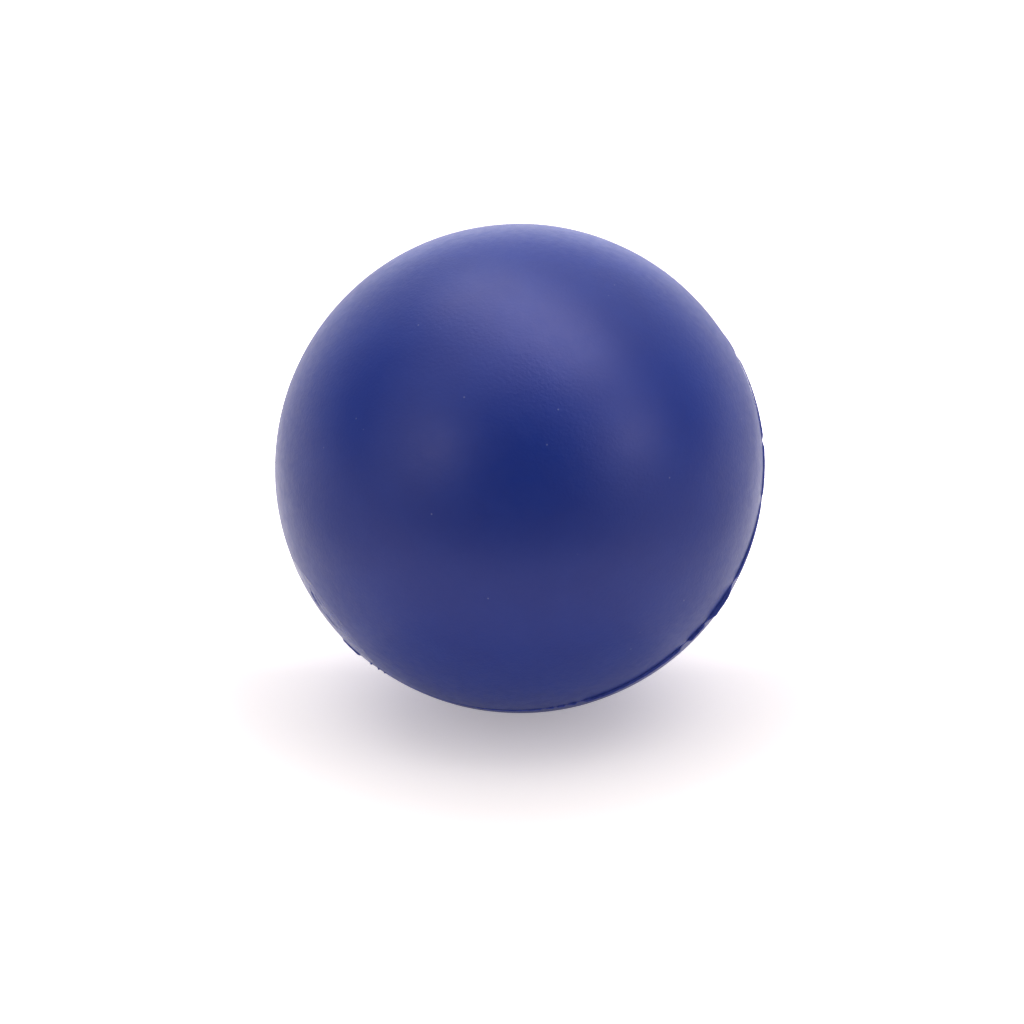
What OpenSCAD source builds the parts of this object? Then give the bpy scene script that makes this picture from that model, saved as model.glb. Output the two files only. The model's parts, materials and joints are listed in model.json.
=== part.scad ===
// Foam stress ball, moulded in two halves, with the thin flash of the parting line left standing in places.
// Millimetres, +Z up. The origin is on the table, in the middle of the flat that the soft ball rests on.

/* [Ball] */
// Diameter of the ball over its skin
ball_d = 63; // [50:1:80]
// Thickness of the moulded skin
skin_t = 0.9; // [0.7:0.1:1.5]
// Diameter of the flat it rests on: its own weight presses about 7, but this rigid model only settles on more
rest_flat_d = 10; // [8:0.5:14]

/* [Mould] */
// Angle from the table up to the front pole, the point of the front half furthest from the parting line
mould_tilt = 33; // [15:1:60]
// Width of the flash line where it fills the gap between the two halves of the skin
flash_w = 0.4; // [0.3:0.05:0.7]
// Height of the flash line above the skin where it was trimmed well
flash_proud = 0.05; // [0.02:0.01:0.15]
// Thickness of the fins, where the trimming left the flash standing
fin_t = 0.35; // [0.2:0.05:0.6]
// Height of the tallest fin above the flash line
fin_h = 0.62; // [0.3:0.02:1.0]

/* [Pour gate] */
// Place of the gate round the parting line, counted from +X towards the top
gate_angle = 222; // [200:1:240]
// Diameter of the foam stub that fills the gate
gate_d = 9; // [6:0.5:12]
// Diameter of the touch-up paint that hides the cut stub
touch_up_d = 18; // [14:0.5:22]
// Thickness of the touch-up paint
touch_up_t = 0.2; // [0.1:0.05:0.3]

/* [Hidden] */
$fn = 96;

// Gap that keeps each piece's solid clear of its neighbour's, since the real ones are bonded face to face
bond_gap = 0.1;

ball_r = ball_d / 2;
core_r = ball_r - skin_t - bond_gap;
centre_z = sqrt(pow(ball_r, 2) - pow(rest_flat_d / 2, 2));
flash_r = ball_r + flash_proud;
flash_depth = skin_t - bond_gap;
half_flash = flash_w / 2;
seam_edge = half_flash + bond_gap;
gate_hole_r = gate_d / 2 + bond_gap;
touch_up_r = touch_up_d / 2;
film_top_r = flash_r;
film_base_r = film_top_r - touch_up_t;

// Each fin: its first and last angle round the parting line, and its share of the tallest fin's height
FINS = [
    [12, 38, 0.42],
    [-4, 11, 0.15],
    [-24.5, -4.5, 0.50],
    [-36.5, -25.5, 1.00],
    [-42.5, -37, 0.60],
    [-71, -43.5, 0.55],
    [-80, -71.5, 0.25],
];

blue_skin = [0.15, 0.19, 0.52];
deep_blue_flash = [0.10, 0.14, 0.44];
pale_blue_foam = [0.38, 0.45, 0.72];

// Places children made about the ball's centre, with the parting plane at z = 0 and the front pole on +Z
module in_mould() {
    translate([0, 0, centre_z])
        rotate([90 - mould_tilt, 0, 0])
            children();
}

// Half of the hollow skin, from the seam edge out to its pole on +Z
module half_shell() {
    difference() {
        sphere(r = ball_r);
        sphere(r = ball_r - skin_t);
        translate([0, 0, seam_edge - ball_d])
            linear_extrude(height = ball_d)
                square(2 * ball_d, center = true);
    }
}

// Stretch of a ring centred on the parting plane, between two radii
module seam_arc(first, last, inner_r, outer_r, thickness) {
    rotate([0, 0, first])
        rotate_extrude(angle = last - first)
            translate([inner_r, -thickness / 2])
                square([outer_r - inner_r, thickness]);
}

// Round bar from the ball's centre out through the gate
module gate_bar(bar_r) {
    rotate([0, 0, gate_angle])
        rotate([0, 90, 0])
            cylinder(h = ball_d, r = bar_r);
}

// Room for the gate: a hole for the stub, and a shallow recess for the paint round it
module gate_clearance(gap) {
    gate_bar(gate_hole_r);
    difference() {
        gate_bar(touch_up_r + gap);
        sphere(r = film_base_r - gap);
    }
}

module foam_core() {
    color(pale_blue_foam)
        in_mould()
            sphere(r = core_r);
}

module front_skin() {
    color(blue_skin)
        in_mould()
            difference() {
                half_shell();
                gate_clearance(bond_gap);
            }
}

// The rear skin also carries the resting flat
module rear_skin() {
    color(blue_skin)
        difference() {
            in_mould()
                difference() {
                    mirror([0, 0, 1]) half_shell();
                    gate_clearance(bond_gap);
                }
            translate([0, 0, -ball_d])
                linear_extrude(height = ball_d)
                    square(2 * ball_d, center = true);
        }
}

module seam_flash() {
    color(deep_blue_flash)
        in_mould()
            difference() {
                seam_arc(0, 360, ball_r - flash_depth, flash_r, flash_w);
                gate_clearance(bond_gap);
            }
}

module flash_fins() {
    color(deep_blue_flash)
        in_mould()
            for (fin = FINS)
                seam_arc(fin[0], fin[1], flash_r, flash_r + fin_h * fin[2], fin_t);
}

module gate_stub() {
    color(pale_blue_foam)
        in_mould()
            difference() {
                intersection() {
                    gate_bar(gate_d / 2);
                    sphere(r = film_base_r);
                }
                sphere(r = core_r);
            }
}

module gate_touch_up() {
    color(blue_skin)
        in_mould()
            difference() {
                intersection() {
                    gate_bar(touch_up_r);
                    sphere(r = film_top_r);
                }
                sphere(r = film_base_r);
            }
}

foam_core();
front_skin();
rear_skin();
seam_flash();
flash_fins();
gate_stub();
gate_touch_up();
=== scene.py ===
"""Looks of the foam stress ball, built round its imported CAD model.

Metres, +Z up, in the CAD model's own frame. "Ahead" of the ball is towards the camera, along the table.
"""

import json
import math

import bmesh
import bpy
from mathutils import Matrix, Vector, noise


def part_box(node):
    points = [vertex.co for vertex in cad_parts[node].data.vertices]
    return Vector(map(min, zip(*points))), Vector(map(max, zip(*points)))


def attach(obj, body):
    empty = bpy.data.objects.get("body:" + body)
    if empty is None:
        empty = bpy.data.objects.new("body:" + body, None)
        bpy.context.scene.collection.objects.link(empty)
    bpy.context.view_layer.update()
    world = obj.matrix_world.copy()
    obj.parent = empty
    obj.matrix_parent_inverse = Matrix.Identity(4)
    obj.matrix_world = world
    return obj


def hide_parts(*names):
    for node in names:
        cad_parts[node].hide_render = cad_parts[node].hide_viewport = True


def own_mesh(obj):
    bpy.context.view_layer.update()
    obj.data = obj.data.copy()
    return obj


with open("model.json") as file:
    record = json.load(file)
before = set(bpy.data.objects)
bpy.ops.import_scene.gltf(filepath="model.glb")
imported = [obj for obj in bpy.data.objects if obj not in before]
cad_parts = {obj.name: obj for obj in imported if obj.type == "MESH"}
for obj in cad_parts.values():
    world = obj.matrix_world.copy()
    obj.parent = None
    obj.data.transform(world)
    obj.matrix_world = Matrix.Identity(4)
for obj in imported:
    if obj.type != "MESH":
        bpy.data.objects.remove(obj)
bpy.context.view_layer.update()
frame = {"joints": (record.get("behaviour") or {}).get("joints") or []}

MM = 0.001

# ---------------------------------------------------------------- sizes, from the CAD frame

skin_low, skin_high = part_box("front_skin")
core_low, core_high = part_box("foam_core")
stub_low, stub_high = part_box("gate_stub")
SQUEEZE = next(joint for joint in frame["joints"] if joint["name"] == "front_squeeze")

CENTRE = (core_low + core_high) / 2
CORE_R = (core_high.x - core_low.x) / 2
BALL_R = (skin_high.x - skin_low.x) / 2
SEAM_TO_POLE = BALL_R * math.pi / 2

# The mould's own directions: the front half's pole, and two that lie in the parting plane
POLE = -Vector(SQUEEZE["axis"]).normalized()
ACROSS = Vector((1.0, 0.0, 0.0))
UPWARD = POLE.cross(ACROSS)

# The pour gate's place on the parting line
GATE = (stub_low + stub_high) / 2 - CENTRE
GATE_ANGLE = math.atan2(GATE.dot(UPWARD), GATE.dot(ACROSS))

# ---------------------------------------------------------------- sizes of what only shows in the looks

# The skin: its thickness, how far its surface rises and falls, and how gradually it bends into the
# resting flat
SKIN_T = 0.9 * MM
SWELL = 0.03 * MM
FLAT_EASE = 0.12 * MM

# The skin's edge beside the flash: how far from the parting plane it begins, the width over which it
# rounds off, how much it drops there, and how deep down the edge its middle row of points lies
HALF_FLASH = 0.2 * MM
SEAM_EDGE = HALF_FLASH + 0.01 * MM
EDGE_ROUND = 0.12 * MM
EDGE_DROP = 0.03 * MM
EDGE_MIDDLE = 0.5 * MM

# Flash and fins are measured from this radius, half a swell over the skin's average
SEAM_BASE_R = BALL_R - SWELL / 2

# The flash line: how far its top lies under that radius, how uneven it is, how far its foot stands over the
# skin's inside, the gap at its ends beside the gate, and the shape of its rounded top
FLASH_SUNK = 0.02 * MM
FLASH_UNEVEN = 0.02 * MM
FLASH_FOOT = 0.1 * MM
FLASH_END_GAP = 0.05 * MM
FLASH_SHOULDER = 0.12 * MM
FLASH_CROWN = 0.03 * MM
FLASH_CROWN_SHARE = 0.8

# The fins: thickness at base and tip, the heights (in shares) where they narrow, the share of the height
# left at a torn end, how much the height wavers, and how far they lean and how much that wavers, in
# shares of the height
FIN_BASE_T = 0.34 * MM
FIN_TIP_T = 0.16 * MM
FIN_WAIST = 0.55
FIN_SHOULDER = 0.93
FIN_END = 0.2
FIN_WAVER = 0.10
FIN_LEAN = 0.10
FIN_LEAN_WAVER = 0.18

# Each fin: first and last angle round the parting line from +X towards the top, in degrees, the height at
# each of those ends, and the length over which the ends fall away, in millimetres
FINS = [
    (31.3, 38.0, 0.13, 0.04, 1.0),
    (9.8, 31.0, 0.20, 0.14, 0.8),
    (-4.0, 9.6, 0.20, 0.21, 0.8),
    (-24.8, -4.2, 0.34, 0.15, 1.2),
    (-36.5, -25.0, 0.60, 0.56, 1.9),
    (-42.4, -36.2, 0.40, 0.34, 0.6),
    (-71.0, -43.6, 0.32, 0.33, 0.9),
    (-74.2, -71.8, 0.16, 0.28, 0.3),
    (-79.6, -77.2, 0.10, 0.22, 0.3),
    (-76.9, -74.5, 0.16, 0.20, 0.3),
    (-96.0, -79.8, 0.08, 0.16, 0.5),
    (-119.3, -118.7, 0.14, 0.16, 0.15),
    (-121.0, -120.4, 0.17, 0.19, 0.15),
    (-123.2, -122.5, 0.20, 0.22, 0.15),
    (-132.2, -125.8, 0.18, 0.26, 0.5),
    (62.0, 71.0, 0.08, 0.12, 0.5),
    (103.0, 121.0, 0.12, 0.10, 0.5),
    (158.0, 163.0, 0.10, 0.14, 0.3),
]

# The gate: its foam stub, how far the stub's cut face lies under the skin and how rough it is, the gap
# under its foot, the hole in the skin, and the patch of touch-up paint over it
GATE_STUB_R = 4.5 * MM
STUB_SUNK = 0.20 * MM
STUB_ROUGH = 0.05 * MM
STUB_GAP = 0.05 * MM
GATE_HOLE_R = 4.6 * MM
TOUCH_UP_R = 9.2 * MM

# The touch-up paint: its thickness, that of its creases and finer marks, the least it thins to in a
# groove, the gaps over the skin of its underside and of its edge, and the share of its radius over which
# the edge thins out
PAINT_T = 0.050 * MM
PAINT_CREASES = 0.014 * MM
PAINT_FINE = 0.012 * MM
PAINT_LEAST = 0.004 * MM
PAINT_UNDER_GAP = 0.003 * MM
PAINT_EDGE_GAP = 0.006 * MM
PAINT_FEATHER = 0.16

# Wrinkles and grooves of the paint: start and end along the parting line and towards the front pole, height
# (negative for a groove) and half width, all in millimetres from the middle of the gate
WRINKLES = [
    (3.0, 4.9, 0.8, 5.4, 0.05, 0.14),
    (2.2, 4.6, -0.2, 5.2, -0.10, 0.13),
    (-0.5, 5.4, -1.3, 6.2, -0.13, 0.12),
    (-1.3, 6.2, -2.0, 6.0, -0.13, 0.12),
    (-2.0, 6.0, -2.9, 7.0, -0.13, 0.12),
    (-0.9, 5.0, -1.6, 5.3, 0.08, 0.12),
    (-1.6, 5.3, -2.6, 6.2, 0.08, 0.12),
    (-0.4, 6.9, -1.7, 7.4, 0.06, 0.14),
    (-2.2, 4.9, -3.6, 5.6, -0.02, 0.12),
    (-0.2, 4.4, -1.1, 4.6, -0.11, 0.12),
    (-1.0, 2.6, -5.0, 3.4, 0.02, 0.50),
    (4.8, 2.2, 1.0, 2.9, 0.02, 0.50),
    (-4.8, 7.8, -4.9, 7.8, -0.11, 0.26),
    (-4.8, 5.3, -4.7, 5.3, -0.11, 0.22),
    (4.0, -5.4, -1.0, -6.2, 0.07, 0.24),
    (1.5, -7.4, -4.0, -6.9, -0.07, 0.20),
]

# How far the foam core's surface dips in its lumps
CORE_LUMPS = 0.06 * MM

# ---------------------------------------------------------------- how finely the meshes are divided

# A half's skin: points round its edge and the fewest round any ring, the closest that they may come, the
# first outer rings' distances from the edge in millimetres, and the even pitch of the other outer and
# inner rings
SEAM_POINTS = 640
FEWEST_POINTS = 20
CLOSEST_POINTS = 0.2 * MM
OUTER_STEPS_MM = [0.0, 0.03, 0.07, 0.13, 0.21, 0.3, 0.45, 0.7, 1.05]
OUTER_PITCH = 0.72 * MM
INNER_PITCH = 3.0 * MM

# Spacing of the cross-sections along the flash and along the fins
FLASH_PITCH = 0.15 * MM
FIN_PITCH = 0.07 * MM

# Rings, and points to each ring
STUB_TOP_RINGS = 18
STUB_POINTS = 96
PAINT_TOP_RINGS = 120
PAINT_POINTS = 420
UNDERSIDE_RINGS = 6
CORE_RINGS = 90
CORE_POINTS = 180

# Edges sharper than this are shaded as edges
SHARP_ANGLE = math.radians(50.0)

# ---------------------------------------------------------------- camera

CAMERA_AZIMUTH = math.radians(8.2)
CAMERA_ELEVATION = math.radians(22.0)
CAMERA_DISTANCE = 0.8
CAMERA_LENS = 218.6
CAMERA_SENSOR = 36.0
CAMERA_NEAR = 0.01
CAMERA_FAR = 50.0
AIM_LEFT = 0.95 * MM
AIM_BELOW = 5.6 * MM

TO_CAMERA = Vector((
    math.sin(CAMERA_AZIMUTH) * math.cos(CAMERA_ELEVATION),
    -math.cos(CAMERA_AZIMUTH) * math.cos(CAMERA_ELEVATION),
    math.sin(CAMERA_ELEVATION),
))
VIEW_RIGHT = Vector((math.cos(CAMERA_AZIMUTH), math.sin(CAMERA_AZIMUTH), 0.0))
VIEW_UP = TO_CAMERA.cross(VIEW_RIGHT)
IN_FRONT = Vector((TO_CAMERA.x, TO_CAMERA.y, 0.0)).normalized()


def placed_and_aimed(place, target):
    """Matrix of a camera or light that stands at a place and faces a target."""
    return Matrix.Translation(place) @ (target - place).to_track_quat("-Z", "Y").to_matrix().to_4x4()


def make_camera():
    data = bpy.data.cameras.new("camera")
    data.lens = CAMERA_LENS
    data.sensor_width = CAMERA_SENSOR
    data.clip_start = CAMERA_NEAR
    data.clip_end = CAMERA_FAR
    camera = bpy.data.objects.new("camera", data)
    bpy.context.scene.collection.objects.link(camera)
    aim = CENTRE - VIEW_RIGHT * AIM_LEFT - VIEW_UP * AIM_BELOW
    camera.matrix_world = placed_and_aimed(CENTRE + TO_CAMERA * CAMERA_DISTANCE, aim)
    bpy.context.scene.camera = camera
    bpy.context.scene.view_settings.view_transform = "Standard"


# ---------------------------------------------------------------- shader helpers

def new_material(name):
    material = bpy.data.materials.new(name)
    material.use_nodes = True
    tree = material.node_tree
    return material, tree, tree.nodes["Principled BSDF"]


def add_node(tree, kind, settings=None, inputs=None):
    """A new shader node. Inputs are plain values, or sockets to link from."""
    node = tree.nodes.new(kind)
    for name, value in (settings or {}).items():
        setattr(node, name, value)
    for name, value in (inputs or {}).items():
        if isinstance(value, bpy.types.NodeSocket):
            tree.links.new(value, node.inputs[name])
        else:
            node.inputs[name].default_value = value
    return node


def object_place(tree):
    """The shaded place in the piece's own coordinates, in metres."""
    return add_node(tree, "ShaderNodeTexCoord").outputs["Object"]


def noise_value(tree, place, per_metre, detail=2.0, roughness=0.5):
    inputs = {"Vector": place, "Scale": per_metre, "Detail": detail, "Roughness": roughness}
    return add_node(tree, "ShaderNodeTexNoise", None, inputs).outputs["Fac"]


def cell_distance(tree, place, per_metre):
    """Distance from the middle of the nearest cell of an irregular pattern of cells."""
    inputs = {"Vector": place, "Scale": per_metre}
    return add_node(tree, "ShaderNodeTexVoronoi", None, inputs).outputs["Distance"]


def remap(tree, value, taken, given=(0.0, 1.0)):
    """A value carried from the range it is taken in to the one that is given, and held at its ends."""
    (low, high), (to_low, to_high) = taken, given
    inputs = {"Value": value, "From Min": low, "From Max": high, "To Min": to_low, "To Max": to_high}
    return add_node(tree, "ShaderNodeMapRange", None, inputs).outputs["Result"]


def mix_colours(tree, share, first, second):
    node = add_node(tree, "ShaderNodeMix", {"data_type": "RGBA"})
    for socket, value in ((node.inputs[0], share), (node.inputs[6], first), (node.inputs[7], second)):
        if isinstance(value, bpy.types.NodeSocket):
            tree.links.new(value, socket)
        else:
            socket.default_value = value
    return node.outputs[2]


def bump(tree, height, depth, below=None):
    inputs = {"Height": height, "Distance": depth, "Strength": 1.0}
    if below is not None:
        inputs["Normal"] = below
    return add_node(tree, "ShaderNodeBump", None, inputs).outputs["Normal"]


# ---------------------------------------------------------------- materials

SKIN_BLUE = (0.0023, 0.0215, 0.192, 1.0)
SKIN_BLUE_DEEP = (0.0019, 0.0195, 0.183, 1.0)
SKIN_SHINE = (1.0, 0.86, 1.0, 1.0)
SKIN_IOR = 1.4
FLASH_BLUE = (0.0360, 0.0600, 0.310, 1.0)
DUST_GREY = (0.06, 0.08, 0.23, 1.0)
FOAM_PIT_SHADE_BLUE = (0.03, 0.05, 0.25, 1.0)
FOAM_BLUE = (0.12, 0.18, 0.48, 1.0)
FLOOR_WHITE = (0.905, 0.855, 0.835, 1.0)
FLOOR_PAINTED_GLOW_TINT = (1.02, 0.965, 0.95, 1.0)
BLACK = (0.0, 0.0, 0.0, 1.0)
MATT = 0.9

# Depths of the bumps
PEEL_DEPTH = 0.008 * MM
GRAIN_DEPTH = 0.022 * MM
DRAG_DEPTH = 0.03 * MM
CELL_DEPTH = 0.15 * MM
STROKE_DEPTH = 0.03 * MM


def set_shine(shader):
    """The reflection that the skin, its flash and its paint have in common."""
    shader.inputs["IOR"].default_value = SKIN_IOR
    shader.inputs["Specular Tint"].default_value = SKIN_SHINE


def skin_material():
    """Satin self-skinned foam: soft mottling, a few dust specks, and fine grain over slight orange peel."""
    material, tree, shader = new_material("skin_blue")
    place = object_place(tree)
    mottle = remap(tree, noise_value(tree, place, per_metre=170.0, detail=3.0), (0.35, 0.65))
    colour = mix_colours(tree, mottle, SKIN_BLUE_DEEP, SKIN_BLUE)
    speck = remap(tree, cell_distance(tree, place, per_metre=294.0), (0.025, 0.045), (1.0, 0.0))
    colour = mix_colours(tree, speck, colour, DUST_GREY)
    tree.links.new(colour, shader.inputs["Base Color"])
    satin = remap(tree, noise_value(tree, place, per_metre=900.0), (0.3, 0.7), (0.39, 0.45))
    tree.links.new(satin, shader.inputs["Roughness"])
    set_shine(shader)
    peel = bump(tree, noise_value(tree, place, per_metre=520.0, detail=1.0), PEEL_DEPTH)
    grain = bump(tree, noise_value(tree, place, per_metre=2600.0, detail=3.0), GRAIN_DEPTH, peel)
    tree.links.new(grain, shader.inputs["Normal"])
    return material


def flash_material():
    """The skin's foam as a thin web: rougher, and paler in streaks, with drag marks from the knife."""
    material, tree, shader = new_material("flash_blue")
    place = object_place(tree)
    streaks = noise_value(tree, place, per_metre=1600.0, detail=4.0, roughness=0.7)
    colour = mix_colours(tree, remap(tree, streaks, (0.2, 0.6)), SKIN_BLUE, FLASH_BLUE)
    tree.links.new(colour, shader.inputs["Base Color"])
    tree.links.new(remap(tree, streaks, (0.3, 0.7), (0.50, 0.65)), shader.inputs["Roughness"])
    set_shine(shader)
    tree.links.new(bump(tree, streaks, DRAG_DEPTH), shader.inputs["Normal"])
    return material


def foam_material():
    """Cut foam: matt, paler than the skin, and full of fine open cells, whose pits are painted darker as
    their shade.
    """
    material, tree, shader = new_material("foam_pale_blue")
    place = object_place(tree)
    cells = cell_distance(tree, place, per_metre=2600.0)
    # Painted shade: the cells' pits, lowest in the bump, get the deeper blue
    colour = mix_colours(tree, remap(tree, cells, (0.15, 0.6)), FOAM_PIT_SHADE_BLUE, FOAM_BLUE)
    tree.links.new(colour, shader.inputs["Base Color"])
    shader.inputs["Roughness"].default_value = MATT
    tree.links.new(bump(tree, cells, CELL_DEPTH), shader.inputs["Normal"])
    return material


def touch_up_material():
    """Brushed-on flexible paint: the skin's blue with a wetter sheen that varies with the brush strokes."""
    material, tree, shader = new_material("touch_up_blue")
    place = object_place(tree)
    strokes = noise_value(tree, place, per_metre=1100.0, detail=4.0, roughness=0.6)
    colour = mix_colours(tree, remap(tree, strokes, (0.3, 0.7)), SKIN_BLUE_DEEP, SKIN_BLUE)
    tree.links.new(colour, shader.inputs["Base Color"])
    tree.links.new(remap(tree, strokes, (0.3, 0.7), (0.24, 0.36)), shader.inputs["Roughness"])
    set_shine(shader)
    tree.links.new(bump(tree, strokes, STROKE_DEPTH), shader.inputs["Normal"])
    return material


# Painted light on the floor: a glow from no lamp, which lifts the ball's shadow and brightens round it and
# just behind it, as a sum of steps. Each step starts and ends at a distance from the ball's middle, or ahead
# of it, in millimetres, and carries the glow from its first strength to its second
FLOOR_PAINTED_GLOW = [
    ("from ball", 6, 26, 0.345, 0.45),
    ("from ball", 36, 75, 0.0, 0.27),
    ("ahead", -60, -5, 0.9, 0.0),
    ("ahead", -170, -80, -0.9, 0.0),
]


def floor_material():
    """Matt white table with painted light: it glows a little in the ball's shadow, and more round it and just
    behind it.
    """
    material, tree, shader = new_material("floor_white_painted_glow")
    shader.inputs["Base Color"].default_value = FLOOR_WHITE
    shader.inputs["Roughness"].default_value = MATT
    shader.inputs["Specular IOR Level"].default_value = 0.0
    shader.inputs["Emission Color"].default_value = FLOOR_PAINTED_GLOW_TINT
    place = object_place(tree)
    ahead = add_node(tree, "ShaderNodeVectorMath", {"operation": "DOT_PRODUCT"}, {0: place, 1: IN_FRONT})
    from_ball = add_node(tree, "ShaderNodeVectorMath", {"operation": "LENGTH"}, {0: place})
    measures = {"ahead": ahead.outputs["Value"], "from ball": from_ball.outputs["Value"]}
    # Painted light: these steps add up to the floor's glow
    glow = 0.0
    for measure, start, end, first, second in FLOOR_PAINTED_GLOW:
        step = remap(tree, measures[measure], (start * MM, end * MM), (first, second))
        glow = add_node(tree, "ShaderNodeMath", {"operation": "ADD"}, {0: glow, 1: step}).outputs[0]
    tree.links.new(glow, shader.inputs["Emission Strength"])
    return material


# ---------------------------------------------------------------- studio

lit_ball = bpy.data.collections.new("lit_ball")
bpy.context.scene.collection.children.link(lit_ball)


# Brightness of the room against how far a direction is turned towards the camera, from -1, away, to 1
ROOM_GLOW = [
    (-0.97, 4.4),
    (-0.86, 1.7),
    (-0.52, 0.82),
    (-0.38, 0.82),
    (-0.05, 0.0),
    (0.12, 0.0),
    (0.45, 1.2),
    (0.55, 1.2),
    (0.90, 0.0),
]
BACKDROP_WHITE = (1.0, 1.0, 1.0, 1.0)


def make_world():
    """A room that lights the ball and is mirrored in it, and a white backdrop for the camera."""
    world = bpy.data.worlds.new("studio")
    bpy.context.scene.world = world
    world.use_nodes = True
    tree = world.node_tree
    tree.nodes.clear()
    peak = max(glow for _, glow in ROOM_GLOW)
    place = add_node(tree, "ShaderNodeTexCoord").outputs["Generated"]
    facing = add_node(tree, "ShaderNodeVectorMath", {"operation": "DOT_PRODUCT"}, {0: place, 1: TO_CAMERA})
    turned = remap(tree, facing.outputs["Value"], (-1.0, 1.0))
    ramp = add_node(tree, "ShaderNodeValToRGB", None, {"Fac": turned})
    ramp.color_ramp.interpolation = "EASE"
    stops = ramp.color_ramp.elements
    while len(stops) < len(ROOM_GLOW):
        stops.new(0.5)
    for stop, (facing_camera, glow) in zip(stops, ROOM_GLOW):
        stop.position = (facing_camera + 1) / 2
        stop.color = (glow / peak, glow / peak, glow / peak, 1.0)
    room = add_node(tree, "ShaderNodeBackground", None, {"Color": ramp.outputs["Color"], "Strength": peak})
    backdrop = add_node(tree, "ShaderNodeBackground", None, {"Color": BACKDROP_WHITE, "Strength": 1.0})
    path = add_node(tree, "ShaderNodeLightPath")
    mix = add_node(tree, "ShaderNodeMixShader", None, {0: path.outputs["Is Camera Ray"]})
    tree.links.new(room.outputs[0], mix.inputs[1])
    tree.links.new(backdrop.outputs[0], mix.inputs[2])
    out = add_node(tree, "ShaderNodeOutputWorld")
    tree.links.new(mix.outputs[0], out.inputs["Surface"])


def make_sheet(name, corners, material):
    mesh = bpy.data.meshes.new(name)
    mesh.from_pydata(corners, [], [(0, 1, 2, 3)])
    mesh.materials.append(material)
    sheet = bpy.data.objects.new(name, mesh)
    bpy.context.scene.collection.objects.link(sheet)
    return sheet


FLOOR_HALF = 4.0


def make_floor():
    corners = [(x * FLOOR_HALF, y * FLOOR_HALF, 0) for x, y in ((-1, -1), (1, -1), (1, 1), (-1, 1))]
    make_sheet("floor", corners, floor_material())


# Painted shade in the ball's reflection of the table: see-through black sheets just over the table, seen only
# in that reflection, which dim it: their near and far ends ahead of the ball and their left and right sides,
# in millimetres, and the share of the light that each takes away
REFLECTION_SHADES = [
    ("reflection_shade_ahead", 110, 1500, -1500, 1500, 0.88),
    ("reflection_shade_at_ball", 8, 37, -27, 27, 0.33),
    ("reflection_shade_left", -150, 60, -420, -78, 0.42),
    ("reflection_shade_right", -290, 60, 78, 420, 0.42),
]
REFLECTION_SHADE_HEIGHT = 0.5 * MM


# Painted shade: sheets hidden from the camera, from lit surfaces and from shadows, which only darken the
# table where the ball mirrors it
def make_reflection_shades():
    for name, near, far, left, right, share in REFLECTION_SHADES:
        material, _, shader = new_material(name)
        shader.inputs["Base Color"].default_value = BLACK
        shader.inputs["Specular IOR Level"].default_value = 0.0
        shader.inputs["Alpha"].default_value = share
        corners = []
        for ahead, aside in ((near, left), (near, right), (far, right), (far, left)):
            corners.append((IN_FRONT * ahead + VIEW_RIGHT * aside) * MM + Vector((0, 0, REFLECTION_SHADE_HEIGHT)))
        shade_sheet = make_sheet(name, corners, material)
        shade_sheet.visible_camera = False
        shade_sheet.visible_diffuse = False
        shade_sheet.visible_shadow = False


# Lights: where on its disc the ball mirrors each one (right and up, in shares of its radius), the
# distance from the ball, width, height, radiance, and what it does: wash lights surfaces and isn't
# mirrored, sheen is only mirrored
LIGHTS = [
    ("overhead_wash", 0.04, 0.70, 0.7, 1.3, 1.1, 0.82, "wash"),
    ("overhead_on_ball", 0.06, 0.75, 0.7, 1.3, 0.6, 3.6, "wash on the ball"),
    ("top_softbox", 0.06, 0.60, 0.7, 1.1, 0.36, 4.1, "sheen"),
    ("front_softbox", 0.06, 0.50, 0.7, 0.7, 0.5, 1.0, "sheen"),
    ("left_softbox", -0.31, 0.085, 0.9, 0.25, 0.25, 5.2, "sheen"),
    ("right_softbox", 0.44, 0.14, 0.9, 0.25, 0.25, 6.34, "sheen"),
]


def seen_in_ball(right, up):
    """The direction that the ball mirrors to the camera at a place on its disc, in shares of its radius."""
    ahead = math.sqrt(1 - right * right - up * up)
    normal = VIEW_RIGHT * right + VIEW_UP * up + TO_CAMERA * ahead
    return 2 * ahead * normal - TO_CAMERA


def make_lights():
    for name, right, up, distance, width, height, radiance, role in LIGHTS:
        data = bpy.data.lights.new(name, "AREA")
        data.shape = "RECTANGLE"
        data.size = width
        data.size_y = height
        data.energy = radiance * width * height * math.pi
        light = bpy.data.objects.new(name, data)
        bpy.context.scene.collection.objects.link(light)
        place = CENTRE + seen_in_ball(right, up).normalized() * distance
        light.matrix_world = placed_and_aimed(place, CENTRE)
        light.visible_camera = False
        light.visible_diffuse = role != "sheen"
        light.visible_glossy = role == "sheen"
        if role == "wash on the ball":
            light.light_linking.receiver_collection = lit_ball


# ---------------------------------------------------------------- shape of the ball

def mould_direction(around, lift):
    """Direction at an angle round the parting line, from +X towards the top, and a lift to the front pole."""
    in_plane = ACROSS * math.cos(around) + UPWARD * math.sin(around)
    return in_plane * math.cos(lift) + POLE * math.sin(lift)


def skin_radius(direction):
    """Distance of the skin's surface from the ball's centre: a ball with a slight unevenness."""
    broad = noise.noise(direction * 3.0)
    fine = noise.noise(direction * 9.0 + Vector((5.0, 0.0, 0.0)))
    return BALL_R - SWELL + SWELL * (broad + 0.35 * fine)


def from_gate(around):
    """Distance along the parting line from the middle of the gate."""
    turn = (around - GATE_ANGLE + math.pi) % (2 * math.pi) - math.pi
    return BALL_R * turn


def smooth_step(value):
    """Rise from 0 to 1 as the value does, level at both ends."""
    value = min(max(value, 0.0), 1.0)
    return value * value * (3 - 2 * value)


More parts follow.
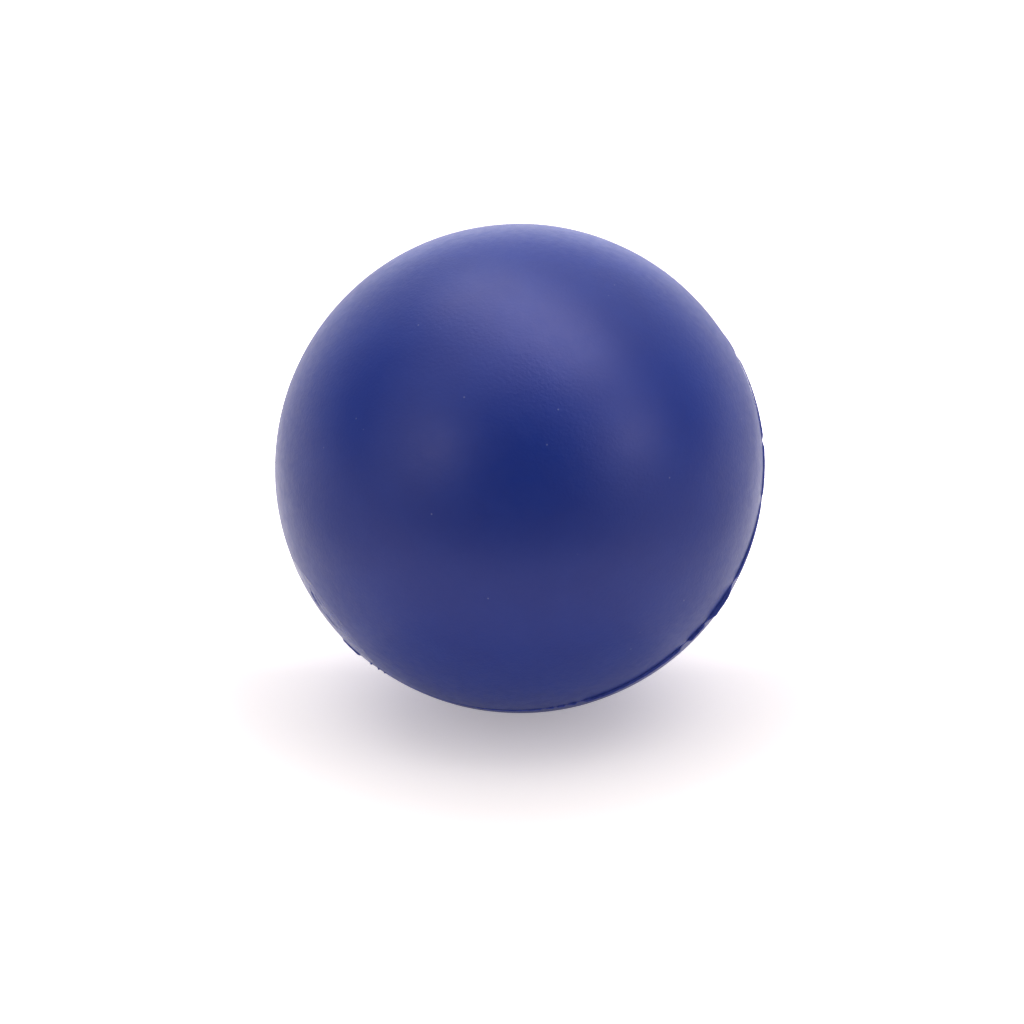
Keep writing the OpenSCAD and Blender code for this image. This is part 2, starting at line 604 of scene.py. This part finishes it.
def rounded_floor(z):
    """Height over the table, with the soft ball's underside pressed flat and eased into the flat."""
    if z > FLAT_EASE:
        return z
    if z < -FLAT_EASE:
        return 0.0
    return (z + FLAT_EASE) ** 2 / (4 * FLAT_EASE)


# ---------------------------------------------------------------- mesh helpers

def bridge(faces, first, first_count, second, second_count):
    """Add faces between two closed rings, each given by the index of its first point and its count of points.

    The counts are equal, or one is half of the other.
    """
    if first_count == second_count:
        for i in range(first_count):
            j = (i + 1) % first_count
            faces.append((first + i, first + j, second + j, second + i))
        return
    coarse, fine, flip = (second, first, False) if first_count > second_count else (first, second, True)
    count = min(first_count, second_count)
    for i in range(count):
        j = (i + 1) % count
        a, b, c = fine + 2 * i, fine + 2 * i + 1, fine + (2 * i + 2) % (2 * count)
        fan = [(a, b, coarse + i), (b, coarse + j, coarse + i), (b, c, coarse + j)]
        faces.extend(tuple(reversed(face)) for face in fan) if flip else faces.extend(fan)


def skin_over_rings(rings, first_tip=None, last_tip=None):
    """Vertices and faces of a surface over rings of points, with a tip at each end that has one."""
    vertices, faces, starts = [], [], []
    for ring in rings:
        starts.append(len(vertices))
        vertices.extend(ring)
    for k in range(len(rings) - 1):
        bridge(faces, starts[k], len(rings[k]), starts[k + 1], len(rings[k + 1]))
    for tip, start, count in ((first_tip, starts[0], len(rings[0])), (last_tip, starts[-1], len(rings[-1]))):
        if tip is not None:
            vertices.append(tip)
            faces.extend((start + i, start + (i + 1) % count, len(vertices) - 1) for i in range(count))
    return vertices, faces


def make_piece(name, vertices, faces, material):
    mesh = bpy.data.meshes.new(name)
    mesh.from_pydata(vertices, [], faces)
    mesh.materials.append(material)
    bm = bmesh.new()
    bm.from_mesh(mesh)
    bmesh.ops.recalc_face_normals(bm, faces=bm.faces)
    bm.to_mesh(mesh)
    bm.free()
    mesh.shade_smooth()
    mesh.set_sharp_from_angle(angle=SHARP_ANGLE)
    piece = bpy.data.objects.new(name, mesh)
    bpy.context.scene.collection.objects.link(piece)
    lit_ball.objects.link(piece)
    return piece


# ---------------------------------------------------------------- the two halves of the skin

def half_start_lift(around):
    """Lift at which a half's skin begins: beside the flash, or round the stub where the gate is."""
    edge = SEAM_EDGE
    beside = abs(from_gate(around))
    if beside < GATE_HOLE_R:
        edge = max(edge, math.sqrt(GATE_HOLE_R ** 2 - beside ** 2))
    return math.asin(edge / BALL_R)


def points_at(lift):
    """How many points a ring has: half as many whenever they would come too close on the way to the pole."""
    count = SEAM_POINTS
    while count > FEWEST_POINTS and BALL_R * 2 * math.pi * math.cos(lift) / count < CLOSEST_POINTS:
        count //= 2
    return count


def half_ring(side, distance, radius_of):
    """One ring of a half's skin, at a distance from its edge where the gate's hole doesn't cut it short."""
    share = distance / SEAM_TO_POLE
    count = points_at(distance / BALL_R)
    ring = []
    for i in range(count):
        around = 2 * math.pi * i / count
        start = half_start_lift(around)
        lift = start + (math.pi / 2 - start) * share
        direction = mould_direction(around, side * lift)
        point = CENTRE + direction * radius_of(direction)
        point.z = rounded_floor(point.z)
        ring.append(point)
    return ring


def outer_distances():
    """Distances of the outer rings from the edge, close together at first."""
    distances = [step * MM for step in OUTER_STEPS_MM]
    while distances[-1] < SEAM_TO_POLE - 1.5 * OUTER_PITCH:
        distances.append(distances[-1] + OUTER_PITCH)
    return distances


def inner_distances():
    """Distances of the inner rings from the edge, from the pole back to the edge."""
    distances = [SEAM_TO_POLE - INNER_PITCH]
    while distances[-1] - INNER_PITCH > INNER_PITCH / 2:
        distances.append(distances[-1] - INNER_PITCH)
    return distances + [0.0]


def half_skin(name, side, node, material):
    """One moulded half: a thin shell with a rounded edge at the parting line, closed inside."""
    inner_r = BALL_R - SKIN_T
    rings = [half_ring(side, distance, lambda direction: inner_r) for distance in inner_distances()]
    rings.append(half_ring(side, 0.0, lambda direction: BALL_R - EDGE_MIDDLE))
    for distance in outer_distances():
        short = 1 - min(distance / EDGE_ROUND, 1.0)
        drop = EDGE_DROP * (1 - math.sqrt(1 - short * short))
        rings.append(half_ring(side, distance, lambda direction: skin_radius(direction) - drop))
    pole = POLE * side
    tips = [CENTRE + pole * inner_r, CENTRE + pole * skin_radius(pole)]
    vertices, faces = skin_over_rings(rings, *tips)
    piece = make_piece(name, vertices, faces, material)
    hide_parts(node)
    return piece


# ---------------------------------------------------------------- flash and fins on the parting line

def spread(first, last, pitch):
    """Angles from first to last, about a pitch of arc apart."""
    steps = max(2, round(abs(last - first) * BALL_R / pitch))
    return [first + (last - first) * i / steps for i in range(steps + 1)]


def sweep(arounds, section):
    """Vertices and faces of a bar along the parting line. section gives its (offset, radius) points."""
    rings = []
    for around in arounds:
        ring = []
        for offset, radius in section(around):
            direction = mould_direction(around, offset / BALL_R)
            ring.append(CENTRE + direction * radius)
        rings.append(ring)
    vertices, faces = skin_over_rings(rings)
    count = len(rings[0])
    faces.append(tuple(range(count)))
    faces.append(tuple(range(len(vertices) - count, len(vertices))))
    return vertices, faces


def ragged(around, per_mm, seed):
    """Uneven height of a torn and trimmed edge, about -1 to 1: coarse waves, and finer ones half as high."""
    along = around * BALL_R / MM * per_mm
    return noise.noise(Vector((along, seed, 0.3))) + 0.5 * noise.noise(Vector((along * 2.7, seed, 7.1)))


def flash_section(around):
    """Cross-section of the flash line, with a rounded top."""
    top = SEAM_BASE_R - FLASH_SUNK + FLASH_UNEVEN * ragged(around, per_mm=0.8, seed=1.0)
    foot = BALL_R - SKIN_T + FLASH_FOOT
    side, crown = HALF_FLASH, HALF_FLASH * FLASH_CROWN_SHARE
    return [
        (-side, foot), (side, foot), (side, top - FLASH_SHOULDER), (crown, top - FLASH_CROWN),
        (0.0, top), (-crown, top - FLASH_CROWN), (-side, top - FLASH_SHOULDER),
    ]


def make_seam_flash(material):
    gap = (GATE_HOLE_R + FLASH_END_GAP) / BALL_R
    arounds = spread(GATE_ANGLE + gap, GATE_ANGLE + 2 * math.pi - gap, FLASH_PITCH)
    vertices, faces = sweep(arounds, flash_section)
    piece = make_piece("seam_flash_line", vertices, faces, material)
    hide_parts("seam_flash")
    return piece


def fin_section(around, first, last, first_height, last_height, fall):
    """Cross-section of a standing fin: a thin web that tapers and wavers, and drops off at its torn ends."""
    share = (around - first) / (last - first)
    end = min(share, 1 - share) * (last - first) * BALL_R
    height = (first_height + (last_height - first_height) * share) * MM
    height *= FIN_END + (1 - FIN_END) * smooth_step(end / (fall * MM))
    height *= 1 + FIN_WAVER * ragged(around, per_mm=1.3, seed=4.0)
    lean = height * (FIN_LEAN + FIN_LEAN_WAVER * ragged(around, per_mm=0.35, seed=9.0))
    half_base, half_tip = FIN_BASE_T / 2, FIN_TIP_T / 2
    half_waist = (half_base + half_tip) / 2
    waist = SEAM_BASE_R + height * FIN_WAIST
    shoulder = SEAM_BASE_R + height * FIN_SHOULDER
    return [
        (-half_base, SEAM_BASE_R), (half_base, SEAM_BASE_R), (half_waist + lean * 0.5, waist),
        (half_tip + lean, shoulder), (lean, SEAM_BASE_R + height),
        (-half_tip + lean, shoulder), (-half_waist + lean * 0.5, waist),
    ]


def make_fins(material):
    vertices, faces = [], []
    for first_degrees, last_degrees, *shape in FINS:
        first, last = math.radians(first_degrees), math.radians(last_degrees)
        section = lambda around: fin_section(around, first, last, *shape)
        fin_vertices, fin_faces = sweep(spread(first, last, FIN_PITCH), section)
        faces.extend(tuple(len(vertices) + i for i in face) for face in fin_faces)
        vertices.extend(fin_vertices)
    piece = make_piece("flash_fins_torn", vertices, faces, material)
    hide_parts("flash_fins")
    return piece


# ---------------------------------------------------------------- gate: foam stub and touch-up paint

GATE_OUT = mould_direction(GATE_ANGLE, 0.0)
GATE_ALONG = mould_direction(GATE_ANGLE + math.pi / 2, 0.0)
NO_DISTANCE = 1e-9


def gate_direction(along, forward):
    """Direction at a place round the gate: metres along the parting line and towards the front pole."""
    reach = math.hypot(along, forward)
    if reach < NO_DISTANCE:
        return GATE_OUT.copy()
    heading = (GATE_ALONG * along + POLE * forward) / reach
    return GATE_OUT * math.cos(reach / BALL_R) + heading * math.sin(reach / BALL_R)


def disc_rings(ring_count, point_count, edge_of, radius_of):
    """Rings of a patch round the gate, from its middle outwards. radius_of gives the height of each place."""
    rings = []
    for k in range(1, ring_count + 1):
        ring = []
        for i in range(point_count):
            turn = 2 * math.pi * i / point_count
            reach = edge_of(turn) * k / ring_count
            along, forward = reach * math.cos(turn), reach * math.sin(turn)
            direction = gate_direction(along, forward)
            ring.append(CENTRE + direction * radius_of(direction, along, forward, k / ring_count))
        rings.append(ring)
    return rings


def make_gate_stub(material):
    """The foam that filled the gate, cut off just below the paint, with a rough cut face."""
    top_r = BALL_R - STUB_SUNK
    rough = lambda direction, *_: top_r - STUB_ROUGH * abs(noise.noise(direction * 160.0))
    foot = lambda direction, *_: CORE_R + STUB_GAP
    edge = lambda turn: GATE_STUB_R
    top = disc_rings(STUB_TOP_RINGS, STUB_POINTS, edge, rough)
    base = disc_rings(UNDERSIDE_RINGS, STUB_POINTS, edge, foot)
    tips = [CENTRE + GATE_OUT * rough(GATE_OUT), CENTRE + GATE_OUT * foot(GATE_OUT)]
    vertices, faces = skin_over_rings(top + base[::-1], *tips)
    piece = make_piece("gate_stub_foam", vertices, faces, material)
    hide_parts("gate_stub")
    return piece


def wrinkle_height(along, forward):
    """Height that the wrinkles and grooves add at a place on the paint."""
    total = 0.0
    for x0, y0, x1, y1, height, half_width in WRINKLES:
        x, y = along / MM - x0, forward / MM - y0
        run_x, run_y = x1 - x0, y1 - y0
        share = min(max((x * run_x + y * run_y) / (run_x * run_x + run_y * run_y), 0.0), 1.0)
        away = math.hypot(x - run_x * share, y - run_y * share)
        total += height * math.exp(-((away / half_width) ** 2))
    return total * MM


def paint_edge(turn):
    """The brushed edge of the paint, uneven from stroke to stroke."""
    heading = Vector((math.cos(turn), math.sin(turn), 0.0))
    return TOUCH_UP_R * (1 + 0.045 * noise.noise(heading * 2.2) + 0.02 * noise.noise(heading * 7.0))


def paint_top(direction, along, forward, share):
    """Surface of the paint: creases along the parting line, wrinkles, grooves, and an edge that thins out."""
    creases = noise.noise(Vector((along / MM * 0.45, forward / MM * 1.5, 2.0)))
    fine = noise.noise(Vector((along / MM * 1.6, forward / MM * 3.4, 8.0)))
    body = PAINT_T + PAINT_CREASES * creases + PAINT_FINE * fine + wrinkle_height(along, forward)
    feather = smooth_step((1 - share) / PAINT_FEATHER)
    return skin_radius(direction) + PAINT_EDGE_GAP + max(body, PAINT_LEAST) * feather


def make_touch_up(material):
    """The patch of paint, from its underside just over the skin to its wrinkled top."""
    under = lambda direction, *_: skin_radius(direction) + PAINT_UNDER_GAP
    top = disc_rings(PAINT_TOP_RINGS, PAINT_POINTS, paint_edge, paint_top)
    base = disc_rings(UNDERSIDE_RINGS, PAINT_POINTS, paint_edge, under)
    tips = [CENTRE + GATE_OUT * paint_top(GATE_OUT, 0.0, 0.0, 0.0), CENTRE + GATE_OUT * under(GATE_OUT)]
    vertices, faces = skin_over_rings(top + base[::-1], *tips)
    piece = make_piece("gate_touch_up_paint", vertices, faces, material)
    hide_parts("gate_touch_up")
    return piece


# ---------------------------------------------------------------- foam core

def make_core(material):
    """The foam inside, with the slightly lumpy surface that it has where it parts from its skin."""
    rings = []
    for k in range(1, CORE_RINGS):
        lift = math.pi * (k / CORE_RINGS - 0.5)
        ring = []
        for i in range(CORE_POINTS):
            direction = mould_direction(2 * math.pi * i / CORE_POINTS, lift)
            ring.append(CENTRE + direction * (CORE_R - CORE_LUMPS * abs(noise.noise(direction * 30.0))))
        rings.append(ring)
    vertices, faces = skin_over_rings(rings, CENTRE - POLE * CORE_R, CENTRE + POLE * CORE_R)
    piece = make_piece("foam_core_body", vertices, faces, material)
    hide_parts("foam_core")
    return piece


# ---------------------------------------------------------------- the whole ball

def ride_and_flatten(piece, body):
    """Each piece rides on its body, with a mesh of its own."""
    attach(piece, body)
    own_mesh(piece)


make_camera()
make_world()
make_floor()
make_reflection_shades()
make_lights()

skin = skin_material()
flash = flash_material()
foam = foam_material()
front = half_skin("front_skin_shell", 1, "front_skin", skin)
rear = half_skin("rear_skin_shell", -1, "rear_skin", skin)
ride_and_flatten(front, "front_half")
ride_and_flatten(rear, "rear_half")
for core_piece in (
    make_core(foam),
    make_seam_flash(flash),
    make_fins(flash),
    make_gate_stub(foam),
    make_touch_up(touch_up_material()),
):
    ride_and_flatten(core_piece, "core")
